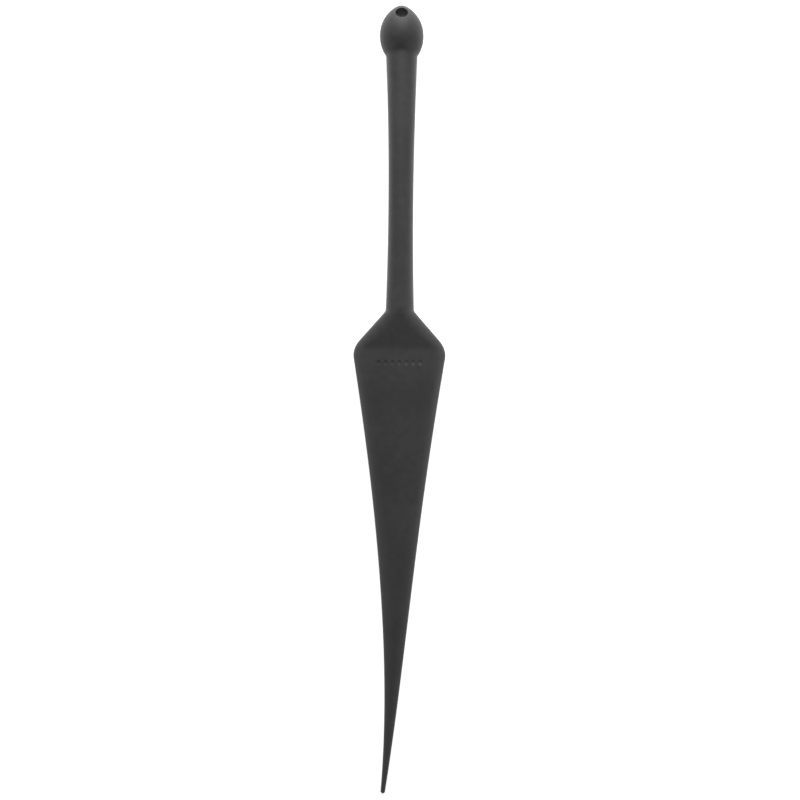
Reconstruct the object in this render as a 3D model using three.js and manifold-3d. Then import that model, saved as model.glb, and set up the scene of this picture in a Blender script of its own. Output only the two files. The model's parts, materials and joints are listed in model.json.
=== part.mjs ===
// A short tail whip moulded in one piece from solid silicone, lying on a table.
// A waisted round grip ends in an egg-shaped pommel with a hanging hole. At the other end it flattens
// through a shoulder into a broad, soft blade that tapers to a fine tip.
//
// The blade bends anywhere along its length. Here it is cut into sections that turn on each other, each
// with a round end that sits in a hollow in the next one, so that it can curl up and down.
//
// Millimetres, +Z up. The whip lies along Y with its pommel at +Y. The origin is on the table, under the
// middle of its length. A station is a distance along the whip from the end of the pommel.
import * as THREE from "three";
import { mergeVertices } from "three/addons/utils/BufferGeometryUtils.js";
import Module from "manifold-3d";

// Driving dimensions.
const TOTAL_LENGTH = 457;
const POMMEL_RADIUS = 12.6;
const POMMEL_END_LENGTH = 17.1; // from its end to its widest ring
const POMMEL_NECK_LENGTH = 15.3; // from its widest ring to where it would close without the grip
const POMMEL_POINTING = 0.3; // share by which its end is drawn in from a plain ellipse
const HOLE_RADIUS = 3.5;
const HOLE_BRIDGE = 4.2; // material between the hole and the end of the pommel
const GRIP_LENGTH = 146.3;
const GRIP_NECK_RADIUS = 8.9;
const GRIP_WAIST_RADIUS = 7.1;
const GRIP_END_RADIUS = 8.1;
const WAIST_PLACE = 0.59; // share of the grip's length, from the neck
const BOW = 0.6; // how far the pommel's end has leant sideways
const BOW_LENGTH = 90; // stretch of the handle that leans
const SHOULDER_LENGTH = 21.8;
const SHOULDER_ROUNDING = 5.7;
const BLADE_WIDTH = 54.8; // at the corner of the shoulder, before it is rounded
const BLADE_TAPER = 0.36; // 1 is a straight-sided taper, 0 a fully hollow one
const BLADE_THICKNESS = 6;
const TIP_WIDTH = 2.4;
const TIP_THICKNESS = 2.2;
const EDGE_ROLL = 1.7; // width of a rounded blade edge over half the blade's thickness
const TIP_SWEEP = THREE.MathUtils.degToRad(6.6); // how far the tip has turned sideways
const DROOP_LENGTH = 100; // from the shoulder to where the blade meets the table

// How the blade bends.
const SECTION_COUNT = 12;
const STIFF_LENGTH = 20; // blade under the shoulder that stays with the handle
const KNUCKLE_CROWN = 0.15; // how much the round ends' radius is over half the blade's thickness
const JOINT_GAP = 0.3;

// Fineness of the mesh.
const QUARTER_STEPS = 8;
const POMMEL_STEPS = 9;
const NECK_STEPS = 4;
const GRIP_STEPS = 10;
const SHOULDER_STEPS = 7;
const STEPS_PER_SECTION = 3;
const ROUND_SIDES = 40;

// Stations of the features, each taken from the one before it.
const pommelWidest = POMMEL_END_LENGTH;
const pommelNeck = pommelWidest + POMMEL_NECK_LENGTH * Math.sqrt(1 - (GRIP_NECK_RADIUS / POMMEL_RADIUS) ** 2);
const gripWaist = pommelNeck + GRIP_LENGTH * WAIST_PLACE;
const gripEnd = pommelNeck + GRIP_LENGTH;
const bladeStart = gripEnd + SHOULDER_LENGTH;
const bladeLength = TOTAL_LENGTH - bladeStart;
const firstHinge = bladeStart + STIFF_LENGTH;
const sectionLength = (TOTAL_LENGTH - firstHinge) / SECTION_COUNT;
const holeStation = HOLE_BRIDGE + HOLE_RADIUS;

const silicone = new THREE.MeshStandardMaterial({ color: 0x3b3b3b, roughness: 0.6, metalness: 0 });

const { clamp, lerp } = THREE.MathUtils;
const shoulderShare = (s) => clamp((s - gripEnd) / SHOULDER_LENGTH, 0, 1);
const bladeShare = (s) => clamp((s - bladeStart) / bladeLength, 0, 1);

// The smaller of two lengths, with the corner between them rounded over the given length.
function roundedMin(a, b, rounding) {
  const overlap = Math.max(rounding - Math.abs(a - b), 0);
  return Math.min(a, b) - overlap ** 2 / (4 * rounding);
}

// Radius of the pommel and the grip.
function roundRadius(s) {
  if (s < pommelNeck) {
    const u = (pommelWidest - s) / (s < pommelWidest ? POMMEL_END_LENGTH : POMMEL_NECK_LENGTH);
    const drawnIn = POMMEL_POINTING * Math.max(u, 0) ** 3;
    return POMMEL_RADIUS * Math.sqrt(Math.max(1 - u ** 2, 0)) * (1 - drawnIn);
  }
  const ends = s < gripWaist ? [GRIP_NECK_RADIUS, pommelNeck] : [GRIP_END_RADIUS, gripEnd];
  const fromWaist = (s - gripWaist) / (ends[1] - gripWaist);
  return lerp(GRIP_WAIST_RADIUS, ends[0], fromWaist ** 2);
}

// How much the last stretch before the tip shrinks, so that the tip ends in a half round.
function tipRounding(s) {
  const past = clamp((s - (TOTAL_LENGTH - TIP_WIDTH / 2)) / (TIP_WIDTH / 2), 0, 1);
  return Math.sqrt(1 - past ** 2);
}

function halfWidth(s) {
  if (s <= gripEnd) return roundRadius(s);
  const fromTip = (TOTAL_LENGTH - s) / bladeLength;
  const taper = BLADE_TAPER * fromTip + (1 - BLADE_TAPER) * fromTip ** 2;
  const bladeEdge = (TIP_WIDTH + (BLADE_WIDTH - TIP_WIDTH) * taper) / 2;
  const shoulderEdge = lerp(GRIP_END_RADIUS, BLADE_WIDTH / 2, (s - gripEnd) / SHOULDER_LENGTH);
  return roundedMin(shoulderEdge, bladeEdge, SHOULDER_ROUNDING) * tipRounding(s);
}

function halfThickness(s) {
  if (s <= gripEnd) return roundRadius(s);
  if (s < bladeStart) return lerp(GRIP_END_RADIUS, BLADE_THICKNESS / 2, shoulderShare(s));
  return (lerp(BLADE_THICKNESS, TIP_THICKNESS, bladeShare(s)) / 2) * tipRounding(s);
}

// Width of the rounded part at each side of a section: all of a round grip, and a narrow edge on the blade.
function edgeRounding(s) {
  const half = halfWidth(s);
  if (s <= gripEnd) return half;
  if (s >= bladeStart) return Math.min(EDGE_ROLL * halfThickness(s), half);
  return half * lerp(1, (EDGE_ROLL * BLADE_THICKNESS) / 2 / halfWidth(bladeStart), shoulderShare(s));
}

// Height of a section's middle above the table. The handle rests on the pommel and on the end of the grip.
// From the shoulder, the blade's underside comes down to the table in one smooth curve and lies flat on it.
function middleHeight(s) {
  const fall = (POMMEL_RADIUS - GRIP_END_RADIUS) / (gripEnd - pommelWidest);
  const handleHeight = (station) => GRIP_END_RADIUS + (gripEnd - station) * fall;
  if (s <= bladeStart) return handleHeight(s);
  const startHeight = handleHeight(bladeStart) - BLADE_THICKNESS / 2;
  const t = clamp((s - bladeStart) / DROOP_LENGTH, 0, 1);
  const underside = startHeight * (1 - t) ** 2 * (1 + 2 * t) - fall * DROOP_LENGTH * t * (1 - t) ** 2;
  return underside + lerp(BLADE_THICKNESS, TIP_THICKNESS, bladeShare(s)) / 2;
}

// Offset of the whip's middle line to one side. Both its ends have leant the same way as it lies: the
// pommel by a fraction of a millimetre, and the blade in a curve that tightens towards the tip.
function sidewaysOffset(s) {
  const lean = BOW * clamp(1 - s / BOW_LENGTH, 0, 1) ** 2;
  const sweep = (TIP_SWEEP * bladeLength * bladeShare(s) ** 4) / 4;
  return -lean - sweep;
}

// The angle by which the blade's sideways curve has turned it.
const sidewaysTurn = (s) => TIP_SWEEP * bladeShare(s) ** 3;

// A point across x and up z from the middle of the section at a station, in the whip's frame.
function placed(s, x, z) {
  const turn = sidewaysTurn(s);
  return new THREE.Vector3(
    sidewaysOffset(s) + x * Math.cos(turn),
    TOTAL_LENGTH / 2 - s - x * Math.sin(turn),
    middleHeight(s) + z,
  );
}

// One of the points round a section, counted from the +X edge over the top. The corners where the round
// edges meet the flat faces have a point of their own, as soon as there is a flat face.
function sectionPoint(s, index) {
  const rounding = edgeRounding(s);
  const flatHalf = halfWidth(s) - rounding;
  const across = Math.cos((index * Math.PI) / 2 / QUARTER_STEPS);
  const up = Math.sin((index * Math.PI) / 2 / QUARTER_STEPS);
  const step = QUARTER_STEPS - Math.abs((index % (2 * QUARTER_STEPS)) - QUARTER_STEPS);
  const onArc = lerp(step / QUARTER_STEPS, Math.min(step / (QUARTER_STEPS - 1), 1), shoulderShare(s));
  const angle = (onArc * Math.PI) / 2;
  const x = step < QUARTER_STEPS ? flatHalf + rounding * Math.cos(angle) : 0;
  return placed(s, Math.sign(across) * x, Math.sign(up) * halfThickness(s) * Math.sin(angle));
}

// Stations of the rings of the mesh: closer together where the outline is round.
function ringStations() {
  const evenly = (from, to, steps) => Array.from({ length: steps }, (_, i) => lerp(from, to, i / steps));
  const neckTurn = Math.asin((pommelNeck - pommelWidest) / POMMEL_NECK_LENGTH);
  const pommel = evenly(0, Math.PI / 2, POMMEL_STEPS).slice(1)
    .map((angle) => pommelWidest - POMMEL_END_LENGTH * Math.cos(angle));
  const belowWidest = evenly(0, neckTurn, NECK_STEPS)
    .map((angle) => pommelWidest + POMMEL_NECK_LENGTH * Math.sin(angle));
  const sections = evenly(firstHinge, TOTAL_LENGTH - TIP_WIDTH / 2, SECTION_COUNT * STEPS_PER_SECTION);
  const tip = [0, 0.5, 0.85].map((share) => TOTAL_LENGTH - (TIP_WIDTH / 2) * (1 - share));
  return [
    ...pommel,
    ...belowWidest,
    ...evenly(pommelNeck, gripEnd, GRIP_STEPS),
    ...evenly(gripEnd, bladeStart, SHOULDER_STEPS),
    ...evenly(bladeStart, firstHinge, STEPS_PER_SECTION),
    ...sections,
    ...tip,
  ];
}

// The whole moulding as one surface: a cylinder's rings, each moved to its station and bent to its section.
function mouldingGeometry() {
  const stations = ringStations();
  const sides = 4 * QUARTER_STEPS;
  const geometry = new THREE.CylinderGeometry(1, 1, 1, sides, stations.length - 1);
  const position = geometry.getAttribute("position");
  for (let i = 0; i < position.count; i += 1) {
    const [x, y, z] = [position.getX(i), position.getY(i), position.getZ(i)];
    const ring = Math.round((0.5 - y) * (stations.length - 1));
    const onAxis = Math.hypot(x, z) < 0.5;
    const index = (Math.round((Math.atan2(z, x) / (2 * Math.PI)) * sides) + sides) % sides;
    const point = onAxis ? placed(y > 0 ? 0 : TOTAL_LENGTH, 0, 0) : sectionPoint(stations[ring], index);
    position.setXYZ(i, point.x, point.y, point.z);
  }
  return geometry;
}

const wasm = await Module();
wasm.setup();

function solidOf(geometry) {
  const bare = geometry.clone();
  bare.deleteAttribute("normal");
  bare.deleteAttribute("uv");
  const merged = mergeVertices(bare);
  return new wasm.Manifold(new wasm.Mesh({
    numProp: 3,
    vertProperties: merged.getAttribute("position").array,
    triVerts: new Uint32Array(merged.index.array),
  }));
}

function geometryOf(solid) {
  const { vertProperties, triVerts } = solid.getMesh();
  const geometry = new THREE.BufferGeometry();
  geometry.setAttribute("position", new THREE.BufferAttribute(vertProperties, 3));
  geometry.setIndex(new THREE.BufferAttribute(triVerts, 1));
  geometry.computeVertexNormals();
  return geometry;
}

// The hanging hole runs straight through the pommel, square to the flat of the blade.
function hangingHole() {
  const drill = new THREE.CylinderGeometry(HOLE_RADIUS, HOLE_RADIUS, 4 * POMMEL_RADIUS, ROUND_SIDES);
  drill.rotateX(Math.PI / 2);
  const centre = placed(holeStation, 0, 0);
  drill.translate(centre.x, centre.y, centre.z);
  return solidOf(drill);
}

// All the space past a hinge, apart from a cylinder around its axis with the given extra radius.
function pastHinge(number, extraRadius) {
  const station = firstHinge + number * sectionLength;
  const radius = halfThickness(station) + KNUCKLE_CROWN + extraRadius;
  const space = new THREE.BoxGeometry(4 * BLADE_WIDTH, TOTAL_LENGTH, TOTAL_LENGTH);
  space.translate(0, -TOTAL_LENGTH / 2, 0);
  const round = new THREE.CylinderGeometry(radius, radius, 2 * BLADE_WIDTH, ROUND_SIDES);
  round.rotateZ(Math.PI / 2);
  for (const shape of [space, round]) {
    shape.rotateZ(-sidewaysTurn(station));
    shape.translate(...placed(station, 0, 0));
  }
  return solidOf(space).subtract(solidOf(round));
}

function meshOf(name, solid) {
  const mesh = new THREE.Mesh(geometryOf(solid), silicone);
  mesh.name = name;
  return mesh;
}

const whip = new THREE.Group();
const moulding = solidOf(mouldingGeometry()).subtract(hangingHole());
whip.add(meshOf("handle", moulding.subtract(pastHinge(0, 0))));
for (let number = 0; number < SECTION_COUNT; number += 1) {
  let section = moulding.intersect(pastHinge(number, JOINT_GAP));
  if (number < SECTION_COUNT - 1) section = section.subtract(pastHinge(number + 1, 0));
  whip.add(meshOf(`tail_section_${number + 1}`, section));
}

export default whip;
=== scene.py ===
import json
from math import atan2, cos, hypot, pi, radians, sin, sqrt

import bmesh
import bpy
from mathutils import Matrix, Vector


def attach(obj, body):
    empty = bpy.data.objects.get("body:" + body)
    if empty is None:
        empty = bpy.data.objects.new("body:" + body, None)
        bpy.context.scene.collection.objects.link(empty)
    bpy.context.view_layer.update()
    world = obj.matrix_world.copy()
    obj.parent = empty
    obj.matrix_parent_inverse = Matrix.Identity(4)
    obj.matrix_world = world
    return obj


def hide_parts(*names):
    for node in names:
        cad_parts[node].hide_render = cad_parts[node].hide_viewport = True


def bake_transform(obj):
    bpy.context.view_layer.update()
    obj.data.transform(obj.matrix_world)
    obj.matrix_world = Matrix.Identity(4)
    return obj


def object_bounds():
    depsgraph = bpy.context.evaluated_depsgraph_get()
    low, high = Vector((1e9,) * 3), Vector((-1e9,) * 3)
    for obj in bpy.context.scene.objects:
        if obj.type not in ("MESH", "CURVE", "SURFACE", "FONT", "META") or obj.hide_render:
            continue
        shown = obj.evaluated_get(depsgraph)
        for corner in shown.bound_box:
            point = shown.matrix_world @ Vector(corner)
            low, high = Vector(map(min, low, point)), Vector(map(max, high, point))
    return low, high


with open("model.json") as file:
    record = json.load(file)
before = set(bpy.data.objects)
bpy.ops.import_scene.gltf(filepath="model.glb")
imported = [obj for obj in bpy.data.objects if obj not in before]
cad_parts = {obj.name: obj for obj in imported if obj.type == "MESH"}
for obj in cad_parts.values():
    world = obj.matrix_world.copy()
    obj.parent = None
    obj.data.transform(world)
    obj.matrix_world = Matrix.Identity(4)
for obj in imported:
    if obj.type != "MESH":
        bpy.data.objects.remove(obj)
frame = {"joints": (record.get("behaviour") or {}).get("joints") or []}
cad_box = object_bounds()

# ---------------------------------------------------------------------------------------------------
# The silicone. The whole whip is one moulding of soft, carbon-black silicone, filled right through.
# The mould was blasted with fine grit, which leaves a close matte grain, and the surface holds a thin
# bloom of dust and handling marks, because silicone clings to whatever touches it.
# ---------------------------------------------------------------------------------------------------
SILICONE_GREY = (0.036, 0.036, 0.036, 1)
SILICONE_BLOOM = (0.043, 0.043, 0.043, 1)
# Grey of the painted highlight along the blade's edges.
EDGE_HIGHLIGHT_GREY = (0.07, 0.07, 0.07, 1)
LINT_GREY = (0.11, 0.11, 0.11, 1)
GRAIN_SIZE = 0.00022
MOTTLE_SIZE = 0.0045
HANDLING_SIZE = 0.035
LINT_SPACING = 0.004
SILICONE_IOR = 1.43
SHEEN = 0.12
SHEEN_ROUGHNESS = 0.45
BURNISHED_ROUGHNESS = 0.56
UNHANDLED_ROUGHNESS = 0.68
WAVINESS_HEIGHT = 0.0002
WAVINESS_STRENGTH = 0.15
GRAIN_HEIGHT = 0.00003
GRAIN_STRENGTH = 0.35


def add_node(tree, kind, place, **sockets):
    node = tree.nodes.new(kind)
    node.location = place
    for name, value in sockets.items():
        node.inputs[name.replace("_", " ")].default_value = value
    return node


def noise(tree, place, size, detail, roughness=0.5):
    return add_node(tree, "ShaderNodeTexNoise", place, Scale=1 / size, Detail=detail, Roughness=roughness)


def ramp_between(tree, place, low, high, low_value, high_value):
    node = add_node(
        tree, "ShaderNodeMapRange", place,
        From_Min=low, From_Max=high, To_Min=low_value, To_Max=high_value,
    )
    node.interpolation_type = "SMOOTHSTEP"
    return node


silicone = bpy.data.materials.new("matte_silicone")
silicone.use_nodes = True
tree = silicone.node_tree
link = tree.links.new
tree.nodes.clear()
output = add_node(tree, "ShaderNodeOutputMaterial", (900, 0))
shader = add_node(tree, "ShaderNodeBsdfPrincipled", (600, 0))
shader.inputs["Metallic"].default_value = 0.0
shader.inputs["IOR"].default_value = SILICONE_IOR
shader.inputs["Specular IOR Level"].default_value = 0.5
shader.inputs["Sheen Weight"].default_value = SHEEN
shader.inputs["Sheen Roughness"].default_value = SHEEN_ROUGHNESS
place_on_whip = add_node(tree, "ShaderNodeTexCoord", (-1100, 0))
where = place_on_whip.outputs["Object"]

handling = noise(tree, (-900, 400), HANDLING_SIZE, 3.0)
mottle = noise(tree, (-900, 150), MOTTLE_SIZE, 4.0, 0.6)
grain = noise(tree, (-900, -350), GRAIN_SIZE, 2.0)
lint = add_node(tree, "ShaderNodeTexVoronoi", (-900, -100), Scale=1 / LINT_SPACING, Randomness=1.0)
for texture in (handling, mottle, grain, lint):
    link(where, texture.inputs["Vector"])

# Bloom is a little lighter grey in soft patches, broken up by the finer mottle.
bloom_amount = add_node(tree, "ShaderNodeMath", (-650, 300))
bloom_amount.operation = "MULTIPLY"
link(handling.outputs["Fac"], bloom_amount.inputs[0])
link(mottle.outputs["Fac"], bloom_amount.inputs[1])
bloom = ramp_between(tree, (-450, 300), 0.15, 0.37, 0.0, 1.0)
link(bloom_amount.outputs[0], bloom.inputs["Value"])
grey = add_node(tree, "ShaderNodeMix", (-200, 300))
grey.data_type = "RGBA"
grey.inputs["A"].default_value = SILICONE_GREY
grey.inputs["B"].default_value = SILICONE_BLOOM
link(bloom.outputs["Result"], grey.inputs["Factor"])

# The blade's edges get a painted highlight, paler than its faces. The attribute is 1 at an edge, 0
# inwards.
painted_edge_highlight = add_node(tree, "ShaderNodeAttribute", (-650, 500))
painted_edge_highlight.attribute_name = "painted_edge_highlight"
edge_highlight_mix = add_node(tree, "ShaderNodeMix", (-50, 450))
edge_highlight_mix.data_type = "RGBA"
edge_highlight_mix.inputs["B"].default_value = EDGE_HIGHLIGHT_GREY
link(painted_edge_highlight.outputs["Fac"], edge_highlight_mix.inputs["Factor"])
link(grey.outputs["Result"], edge_highlight_mix.inputs["A"])

# Lint is the odd pale speck, a few tenths of a millimetre across.
speck = ramp_between(tree, (-650, -100), 0.03, 0.055, 0.5, 0.0)
link(lint.outputs["Distance"], speck.inputs["Value"])
some_specks = ramp_between(tree, (-650, 50), 0.56, 0.66, 0.0, 1.0)
link(mottle.outputs["Fac"], some_specks.inputs["Value"])
lint_amount = add_node(tree, "ShaderNodeMath", (-400, 0))
lint_amount.operation = "MULTIPLY"
link(speck.outputs["Result"], lint_amount.inputs[0])
link(some_specks.outputs["Result"], lint_amount.inputs[1])
colour = add_node(tree, "ShaderNodeMix", (50, 250))
colour.data_type = "RGBA"
colour.inputs["B"].default_value = LINT_GREY
link(edge_highlight_mix.outputs["Result"], colour.inputs["A"])
link(lint_amount.outputs[0], colour.inputs["Factor"])
link(colour.outputs["Result"], shader.inputs["Base Color"])

# Handled patches are burnished a little smoother than the rest.
burnish = ramp_between(tree, (-200, -50), 0.3, 0.7, BURNISHED_ROUGHNESS, UNHANDLED_ROUGHNESS)
link(handling.outputs["Fac"], burnish.inputs["Value"])
link(burnish.outputs["Result"], shader.inputs["Roughness"])

# The skin is a little uneven, and over that lies the close grain of the blasted mould.
waviness = add_node(
    tree, "ShaderNodeBump", (100, -250), Strength=WAVINESS_STRENGTH, Distance=WAVINESS_HEIGHT
)
link(mottle.outputs["Fac"], waviness.inputs["Height"])
matte_grain = add_node(tree, "ShaderNodeBump", (330, -300), Strength=GRAIN_STRENGTH, Distance=GRAIN_HEIGHT)
link(grain.outputs["Fac"], matte_grain.inputs["Height"])
link(waviness.outputs["Normal"], matte_grain.inputs["Normal"])
link(matte_grain.outputs["Normal"], shader.inputs["Normal"])
link(shader.outputs["BSDF"], output.inputs["Surface"])

# ---------------------------------------------------------------------------------------------------
# The grip and shoulder. A round grip with a waist runs from the pommel's neck to a shoulder, where it
# flattens and flares into the blade. It is cast in a two-part mould, which leaves a fine parting line
# down both sides. This piece also has the first stretch of blade, which moves with the handle.
# ---------------------------------------------------------------------------------------------------
POMMEL_RADIUS = 0.0126
POMMEL_END_LENGTH = 0.0171
POMMEL_NECK_LENGTH = 0.0153
POMMEL_POINTING = 0.3
NECK_RADIUS = 0.0089
NECK_FILLET = 0.00025
NECK_FILLET_REACH = 0.001
GRIP_LENGTH = 0.1463
WAIST_RADIUS = 0.0071
WAIST_PLACE = 0.59
BOW = 0.0006
BOW_LENGTH = 0.09
GRIP_END_RADIUS = 0.0081
SHOULDER_LENGTH = 0.0218
SHOULDER_ROUNDING = 0.0057
GRIP_CORNER_ROUNDING = 0.0009
RAMP_TOP_ROUNDING = 0.0006
RAMP_FOOT_ROUNDING = 0.0003
BLADE_WIDTH = 0.0548
BLADE_TAPER = 0.36
BLADE_THICKNESS = 0.006
TIP_WIDTH = 0.0024
TIP_THICKNESS = 0.0022
EDGE_ROLL_AT_SHOULDER = 2
EDGE_ROLL = 1.7
ROLL_FADE = 0.06
TIP_SWEEP = radians(6.6)
DROOP_LENGTH = 0.1
PARTING_LINE = 0.00007
# How far in from the blade's edges the painted highlight reaches.
EDGE_HIGHLIGHT_WIDTH = 0.008
SIDES = 96
ARC_SHARE = 0.75
RING_SPACING = 0.001
SHARP_ANGLE = radians(40)
WELD_DISTANCE = 1e-7
FIRST_BEND_REACH = 0.007

low, high = cad_box
total_length = high.y - low.y
neck = POMMEL_END_LENGTH + POMMEL_NECK_LENGTH * sqrt(1 - (NECK_RADIUS / POMMEL_RADIUS) ** 2)
waist = neck + GRIP_LENGTH * WAIST_PLACE
grip_end = neck + GRIP_LENGTH
blade_start = grip_end + SHOULDER_LENGTH
blade_length = total_length - blade_start
fillet_radius = NECK_RADIUS + NECK_FILLET
fillet_start = POMMEL_END_LENGTH + POMMEL_NECK_LENGTH * sqrt(1 - (fillet_radius / POMMEL_RADIUS) ** 2)


def lerp(a, b, share):
    return a + (b - a) * share


def clamped(value):
    return min(max(value, 0.0), 1.0)


def rounded_min(a, b, rounding):
    """The lesser of two values, with the corner where they cross rounded off."""
    overlap = max(rounding - abs(a - b), 0.0)
    return min(a, b) - overlap**2 / (4 * rounding)


def rounded_max(a, b, rounding):
    return -rounded_min(-a, -b, rounding)


def shoulder_share(s):
    return clamped((s - grip_end) / SHOULDER_LENGTH)


def blade_share(s):
    return clamped((s - blade_start) / blade_length)


def pommel_radius(s):
    """Radius of the egg at a station, which is a distance from the end of the pommel."""
    u = (POMMEL_END_LENGTH - s) / (POMMEL_END_LENGTH if s < POMMEL_END_LENGTH else POMMEL_NECK_LENGTH)
    drawn_in = POMMEL_POINTING * max(u, 0.0) ** 3
    return POMMEL_RADIUS * sqrt(max(1 - u * u, 0.0)) * (1 - drawn_in)


def grip_radius(s):
    """Radius of the grip at a station: least at the waist, and eased into the pommel by a small fillet."""
    end_radius, end = (NECK_RADIUS, neck) if s < waist else (GRIP_END_RADIUS, grip_end)
    from_waist = (s - waist) / (end - waist)
    radius = lerp(WAIST_RADIUS, end_radius, from_waist**2)
    past_neck = (s - fillet_start) / NECK_FILLET_REACH
    return radius + (fillet_radius - NECK_RADIUS) * max(1 - past_neck, 0.0) ** 2


def tip_rounding(s):
    past = clamped((s - (total_length - TIP_WIDTH / 2)) / (TIP_WIDTH / 2))
    return sqrt(1 - past**2)


def half_width(s):
    """Half the width of a section. The blade tapers in a hollow curve and ends in a round tip."""
    from_tip = (total_length - s) / blade_length
    taper = BLADE_TAPER * from_tip + (1 - BLADE_TAPER) * from_tip**2
    blade_edge = (TIP_WIDTH + (BLADE_WIDTH - TIP_WIDTH) * taper) / 2
    flank = lerp(GRIP_END_RADIUS, BLADE_WIDTH / 2, (s - grip_end) / SHOULDER_LENGTH)
    outline = rounded_max(grip_radius(s), flank, GRIP_CORNER_ROUNDING) if s < blade_start else flank
    return rounded_min(outline, blade_edge, SHOULDER_ROUNDING) * tip_rounding(s)


def half_thickness(s):
    """Half the height of a section: the grip's, down a straight ramp, then the thinning blade's."""
    ramp = lerp(GRIP_END_RADIUS, BLADE_THICKNESS / 2, (s - grip_end) / SHOULDER_LENGTH)
    blade = lerp(BLADE_THICKNESS, TIP_THICKNESS, blade_share(s)) / 2
    handle = rounded_min(grip_radius(s), ramp, RAMP_TOP_ROUNDING) if s < blade_start else ramp
    return rounded_max(handle, blade, RAMP_FOOT_ROUNDING) * tip_rounding(s)


def edge_rounding(s):
    """Width of the rounded part at each side of a section: all of it on the grip, an edge on the blade."""
    half = half_width(s)
    if s >= blade_start:
        roll = lerp(EDGE_ROLL_AT_SHOULDER, EDGE_ROLL, clamped((s - blade_start) / ROLL_FADE))
        return min(roll * half_thickness(s), half)
    edge_at_blade = EDGE_ROLL_AT_SHOULDER * BLADE_THICKNESS / 2 / half_width(blade_start)
    return half * lerp(1, edge_at_blade, shoulder_share(s))


def middle_height(s):
    """The whip lies on the pommel and the end of the grip, and its blade comes down to the table."""
    fall = (POMMEL_RADIUS - GRIP_END_RADIUS) / (grip_end - POMMEL_END_LENGTH)
    if s <= blade_start:
        return GRIP_END_RADIUS + (grip_end - s) * fall
    start = GRIP_END_RADIUS + (grip_end - blade_start) * fall - BLADE_THICKNESS / 2
    t = clamped((s - blade_start) / DROOP_LENGTH)
    underside = start * (1 - t) ** 2 * (1 + 2 * t) - fall * DROOP_LENGTH * t * (1 - t) ** 2
    return underside + lerp(BLADE_THICKNESS, TIP_THICKNESS, blade_share(s)) / 2


def sideways_offset(s):
    """Both ends have leant the same way: the pommel hardly, and the blade in a curve towards its tip."""
    lean = BOW * clamped(1 - s / BOW_LENGTH) ** 2
    sweep = TIP_SWEEP * blade_length * blade_share(s) ** 4 / 4
    return -lean - sweep


def placed(s, x, z):
    """A point across x and up z from the middle of the section at a station."""
    turn = TIP_SWEEP * blade_share(s) ** 3
    return Vector((sideways_offset(s) + x * cos(turn), high.y - s - x * sin(turn), middle_height(s) + z))


def section_point(s, angle):
    """The point of a section at an angle round it, from the +X edge over the top."""
    quarter = abs((angle / (pi / 2) + 1) % 2 - 1)
    arc_share = lerp(1, ARC_SHARE, shoulder_share(s))
    rounding = edge_rounding(s)
    flat_half = half_width(s) - rounding
    on_arc = min(quarter / arc_share, 1.0) * pi / 2
    x = flat_half + rounding * cos(on_arc)
    if quarter > arc_share:
        x = flat_half * (1 - quarter) / (1 - arc_share)
    if quarter < 0.5 / SIDES:
        x += PARTING_LINE * tip_rounding(s)
    z = half_thickness(s) * sin(on_arc)
    return placed(s, x if cos(angle) > 0 else -x, z if sin(angle) > 0 else -z)


def moulded_length(start, end):
    """A closed length of the moulding: a cylinder cut into rings, each moved to its section."""
    rings = max(round((end - start) / RING_SPACING), 2)
    bm = bmesh.new()
    bmesh.ops.create_cone(bm, cap_ends=True, segments=SIDES, radius1=1, radius2=1, depth=1)
    lengthwise = [edge for edge in bm.edges if abs(edge.verts[0].co.z - edge.verts[1].co.z) > 0.5]
    bmesh.ops.subdivide_edges(bm, edges=lengthwise, cuts=rings - 1)
    for vert in bm.verts:
        share = vert.co.z + 0.5
        side = round(atan2(vert.co.y, vert.co.x) / (2 * pi) * SIDES)
        angle = 2 * pi * side / SIDES
        vert.co = section_point(lerp(end, start, share), angle)
    bmesh.ops.remove_doubles(bm, verts=bm.verts, dist=WELD_DISTANCE)
    bmesh.ops.recalc_face_normals(bm, faces=bm.faces)
    return bm


# Painted highlight along the blade's edges, standing in for the light they catch.
def edge_highlight_share(point):
    """1 at an edge of the blade, fading to 0 inwards and at the shoulder."""
    s = high.y - point.y
    from_edge = half_width(s) - abs(point.x - sideways_offset(s))
    return shoulder_share(s) * clamped(1 - from_edge / EDGE_HIGHLIGHT_WIDTH) ** 2


def finished(name, bm):
    """A named object from a bmesh: smooth-shaded, with its sharp edges kept crisp, in silicone."""
    # Each vertex stores how much painted edge highlight it gets.
    edge_highlight_layer = bm.verts.layers.float.new("painted_edge_highlight")
    for vert in bm.verts:
        vert[edge_highlight_layer] = edge_highlight_share(vert.co)
    for face in bm.faces:
        face.smooth = True
    for edge in bm.edges:
        edge.smooth = edge.calc_face_angle(0.0) < SHARP_ANGLE
    mesh = bpy.data.meshes.new(name)
    bm.to_mesh(mesh)
    bm.free()
    mesh.materials.append(silicone)
    piece = bpy.data.objects.new(name, mesh)
    bpy.context.scene.collection.objects.link(piece)
    return piece


hinges = [Vector(joint["pos_m"]) for joint in frame["joints"]]
hinge_stations = [high.y - hinge.y for hinge in hinges]
section_length = hinge_stations[1] - hinge_stations[0]
grip_seam = hinge_stations[0] - FIRST_BEND_REACH
uncut_grip = finished("uncut_grip", moulded_length(fillet_start, grip_seam))

# ---------------------------------------------------------------------------------------------------
# The mark. A row of small lozenges is sunk into the blade's upper face under the shoulder, where the
# mould has raised shapes. They narrow a little towards their floors, so that the whip lifts out. They
# are cut from the length made above, which is then the finished grip and shoulder.
# ---------------------------------------------------------------------------------------------------
MARK_PLACE = 0.0084
LOZENGE_COUNT = 7
LOZENGE_SPACING = 0.004
LOZENGE_WIDTH = 0.0029
LOZENGE_LENGTH = 0.0038
LOZENGE_DRAFT = 0.0004
MARK_DEPTH = 0.00035

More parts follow.
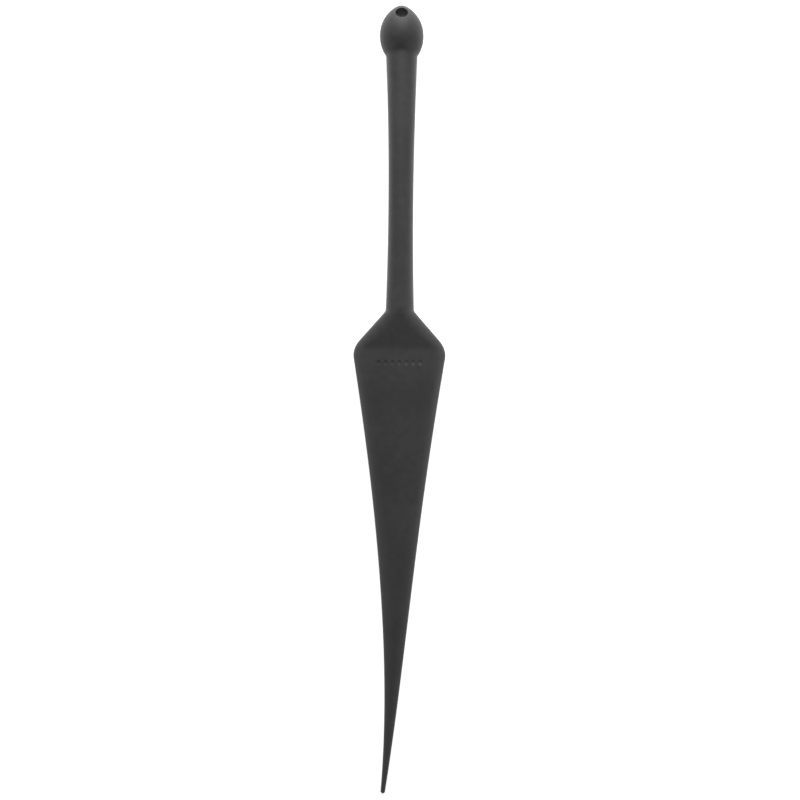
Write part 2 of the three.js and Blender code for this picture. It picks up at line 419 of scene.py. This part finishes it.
mark_station = blade_start + MARK_PLACE
bm = bmesh.new()
for number in range(LOZENGE_COUNT):
    across = (number - (LOZENGE_COUNT - 1) / 2) * LOZENGE_SPACING
    place = placed(mark_station, across, half_thickness(mark_station))
    bmesh.ops.create_cone(
        bm, cap_ends=True, segments=4, depth=2 * MARK_DEPTH,
        radius1=LOZENGE_WIDTH / 2 - LOZENGE_DRAFT, radius2=LOZENGE_WIDTH / 2 + LOZENGE_DRAFT,
        matrix=Matrix.Translation(place) @ Matrix.Diagonal((1, LOZENGE_LENGTH / LOZENGE_WIDTH, 1, 1)),
    )
mark = finished("mark", bm)
cut = uncut_grip.modifiers.new("mark", "BOOLEAN")
cut.operation = "DIFFERENCE"
cut.object = mark
bm = bmesh.new()
bm.from_object(uncut_grip, bpy.context.evaluated_depsgraph_get())
for spare in (uncut_grip, mark):
    bpy.data.meshes.remove(spare.data)
grip = finished("grip_and_shoulder", bm)
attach(grip, "handle")
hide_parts("handle")

# ---------------------------------------------------------------------------------------------------
# The pommel. A solid egg at the end of the grip, which stops the hand from slipping off. A hanging
# hole runs through it near its point, left by a steel pin in the mould, and its rims are eased. It is a
# ring around the hole, each side of which is moved to the section of the egg in its direction.
# ---------------------------------------------------------------------------------------------------
HOLE_RADIUS = 0.0035
HOLE_BRIDGE = 0.0042
RIM_EASING = 0.0005
WALL_STEPS = 10
EASING_STEPS = 5
SURFACE_STEPS = 40
AROUND_HOLE = 160
HALVINGS = 40
RING_CENTRE = 2

hole_station = HOLE_BRIDGE + HOLE_RADIUS


def egg_reach(direction_x, direction_y):
    """How far the egg goes from the hole's axis in a direction, to its outline or to the neck. The gap
    between a reach inside it and one outside is halved until they meet."""
    inside, outside = HOLE_RADIUS, 3 * POMMEL_END_LENGTH
    for _ in range(HALVINGS):
        middle = (inside + outside) / 2
        s = hole_station - middle * direction_y
        within = 0 < s < fillet_start and abs(middle * direction_x) < pommel_radius(s)
        inside, outside = (middle, outside) if within else (inside, middle)
    return inside


def egg_height(direction_x, direction_y, reach):
    """Height of the egg's surface over its middle, at a distance from the hole's axis."""
    s = hole_station - reach * direction_y
    return sqrt(max(pommel_radius(s) ** 2 - (reach * direction_x) ** 2, 0.0))


def pommel_profile(angle):
    """Half of the section through the pommel along a direction from the hole: from the middle of the
    hole's wall, over its eased rim, and over the egg to its outline."""
    x, y = cos(angle), sin(angle)
    rim = HOLE_RADIUS + RIM_EASING
    step = RIM_EASING / 100
    slope = (egg_height(x, y, rim + step) - egg_height(x, y, rim)) / step
    rim_height = egg_height(x, y, rim)
    corner = Vector((HOLE_RADIUS, rim_height - slope * RIM_EASING))
    below, beyond = corner - Vector((0, RIM_EASING)), Vector((rim, rim_height))
    wall = [Vector((HOLE_RADIUS, below.y * i / WALL_STEPS)) for i in range(WALL_STEPS)]
    easing = []
    for i in range(EASING_STEPS):
        t = i / EASING_STEPS
        easing.append(below * (1 - t) ** 2 + corner * 2 * t * (1 - t) + beyond * t**2)
    reach = egg_reach(x, y)
    surface = []
    for i in range(SURFACE_STEPS + 1):
        out = lerp(rim, reach, sin(i / SURFACE_STEPS * pi / 2))
        surface.append(Vector((out, egg_height(x, y, out))))
    return wall + easing + surface


half_steps = WALL_STEPS + EASING_STEPS + SURFACE_STEPS
ring_sides = 2 * half_steps + 2
bm = bmesh.new()
bmesh.ops.create_circle(
    bm, cap_ends=False, segments=ring_sides, radius=1,
    matrix=Matrix.Translation((RING_CENTRE, 0, 0)) @ Matrix.Rotation(pi / 2, 4, "X"),
)
bmesh.ops.spin(
    bm, geom=bm.verts[:] + bm.edges[:], axis=(0, 0, 1), cent=(0, 0, 0),
    angle=2 * pi, steps=AROUND_HOLE, use_merge=True,
)
profiles = [pommel_profile(2 * pi * i / AROUND_HOLE) for i in range(AROUND_HOLE)]
for vert in bm.verts:
    column = round(atan2(vert.co.y, vert.co.x) / (2 * pi) * AROUND_HOLE) % AROUND_HOLE
    around = atan2(vert.co.z, RING_CENTRE - hypot(vert.co.x, vert.co.y)) / (2 * pi) * ring_sides
    step = min(round(abs(around)), half_steps)
    out, up = profiles[column][step]
    angle = 2 * pi * column / AROUND_HOLE
    s = hole_station - out * sin(angle)
    vert.co = placed(s, out * cos(angle), up if around > 0 else -up)
bmesh.ops.remove_doubles(bm, verts=bm.verts, dist=WELD_DISTANCE)
bmesh.ops.recalc_face_normals(bm, faces=bm.faces)
pommel = finished("pommel", bm)
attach(pommel, "handle")
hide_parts("handle")

# ---------------------------------------------------------------------------------------------------
# The blade. A flat tongue of solid silicone, 6 mm thick at the shoulder and little more than 2 mm at
# its tip, with rolled edges. It bends anywhere, so each length is cast from the middle of one moving
# section to the middle of the next, and its skin is set to be evened out over the hinge between them.
# ---------------------------------------------------------------------------------------------------
BEND_EVENING = 300

sections = [joint["child"] for joint in frame["joints"]]
seams = [grip_seam] + [s + section_length / 2 for s in hinge_stations[:-1]] + [total_length]
for number, (section, joint) in enumerate(zip(sections, frame["joints"]), start=1):
    length = finished(f"blade_{number}", moulded_length(seams[number - 1], seams[number]))
    hinge = hinges[number - 1]
    reach = FIRST_BEND_REACH if number == 1 else section_length / 2
    along = Vector((0, 0, 1)).cross(Vector(joint["axis"])).normalized() * reach
    along = along if along.y < 0 else -along
    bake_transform(length)
    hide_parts(section)

    # Silicone bends in an even curve, so the skin is evened out over its hinge, and kept at its seams.
    evened = length.vertex_groups.new(name="evened")
    for vert in length.data.vertices:
        off_hinge = min(abs((vert.co - hinge).dot(along)) / reach**2, 1.0)
        evened.add([vert.index], (1 - off_hinge**2) ** 2, "REPLACE")
    even_bend = length.modifiers.new("even_bend", "CORRECTIVE_SMOOTH")
    even_bend.iterations = BEND_EVENING
    even_bend.vertex_group = "evened"
    even_bend.rest_source = "BIND"
    with bpy.context.temp_override(object=length, active_object=length):
        bpy.ops.object.correctivesmooth_bind(modifier="even_bend")

# ---------------------------------------------------------------------------------------------------
# The studio: a floor of white paper that glows a little, as if lit from below, a broad soft light past
# the pommel, a weaker one along each side, and a camera straight above.
# ---------------------------------------------------------------------------------------------------
FLOOR_SIZE = 6.0
PAPER_WHITE = (0.86, 0.86, 0.86, 1)
PAPER_ROUGHNESS = 0.9
PAPER_GLOW = 0.72
ROOM_LIGHT = 0.1
BACKDROP_WHITE = 0.8
CAMERA_HEIGHT = 0.5
CAMERA_PLACE = (0.0006, 0.0028)
CAMERA_ROLL = 0.0095
CAMERA_LENS = 38.23

bm = bmesh.new()
bmesh.ops.create_grid(bm, x_segments=1, y_segments=1, size=FLOOR_SIZE / 2)
floor_mesh = bpy.data.meshes.new("floor")
bm.to_mesh(floor_mesh)
bm.free()
floor = bpy.data.objects.new("floor", floor_mesh)
bpy.context.scene.collection.objects.link(floor)

paper = bpy.data.materials.new("white_paper")
paper.use_nodes = True
paper_shader = paper.node_tree.nodes["Principled BSDF"]
paper_shader.inputs["Base Color"].default_value = PAPER_WHITE
paper_shader.inputs["Roughness"].default_value = PAPER_ROUGHNESS
paper_shader.inputs["Emission Color"].default_value = (1, 1, 1, 1)
paper_shader.inputs["Emission Strength"].default_value = PAPER_GLOW
floor_mesh.materials.append(paper)


def soft_light(name, place, size, power):
    """A square of soft light that faces the middle of the whip."""
    data = bpy.data.lights.new(name, "AREA")
    data.shape = "SQUARE"
    data.size = size
    data.energy = power
    lamp = bpy.data.objects.new(name, data)
    bpy.context.scene.collection.objects.link(lamp)
    lamp.location = place
    lamp.rotation_euler = (-Vector(place)).to_track_quat("-Z", "Y").to_euler()


soft_light("end_light", (0.0, 0.75, 0.4), 0.5, 7.9)
soft_light("right_light", (0.3, -0.03, 0.2), 0.2, 0.4)
soft_light("left_light", (-0.3, -0.03, 0.2), 0.2, 0.26)

# The room gives a little light from all round. Past the floor's edge the camera sees a pale backdrop.
world = bpy.data.worlds.new("studio")
world.use_nodes = True
room = world.node_tree
room_light = room.nodes["Background"]
room_light.inputs["Color"].default_value = (1, 1, 1, 1)
room_light.inputs["Strength"].default_value = ROOM_LIGHT
backdrop = add_node(room, "ShaderNodeBackground", (0, -150), Color=(1, 1, 1, 1), Strength=BACKDROP_WHITE)
seen = add_node(room, "ShaderNodeLightPath", (0, 200))
seen_or_lit = add_node(room, "ShaderNodeMixShader", (250, 0))
room.links.new(seen.outputs["Is Camera Ray"], seen_or_lit.inputs["Fac"])
room.links.new(room_light.outputs["Background"], seen_or_lit.inputs[1])
room.links.new(backdrop.outputs["Background"], seen_or_lit.inputs[2])
room.links.new(seen_or_lit.outputs["Shader"], room.nodes["World Output"].inputs["Surface"])
bpy.context.scene.world = world
bpy.context.scene.view_settings.view_transform = "Standard"

camera_data = bpy.data.cameras.new("camera")
camera_data.lens = CAMERA_LENS
camera = bpy.data.objects.new("camera", camera_data)
bpy.context.scene.collection.objects.link(camera)
camera.location = (*CAMERA_PLACE, CAMERA_HEIGHT)
camera.rotation_euler = (0, 0, CAMERA_ROLL)
bpy.context.scene.camera = camera
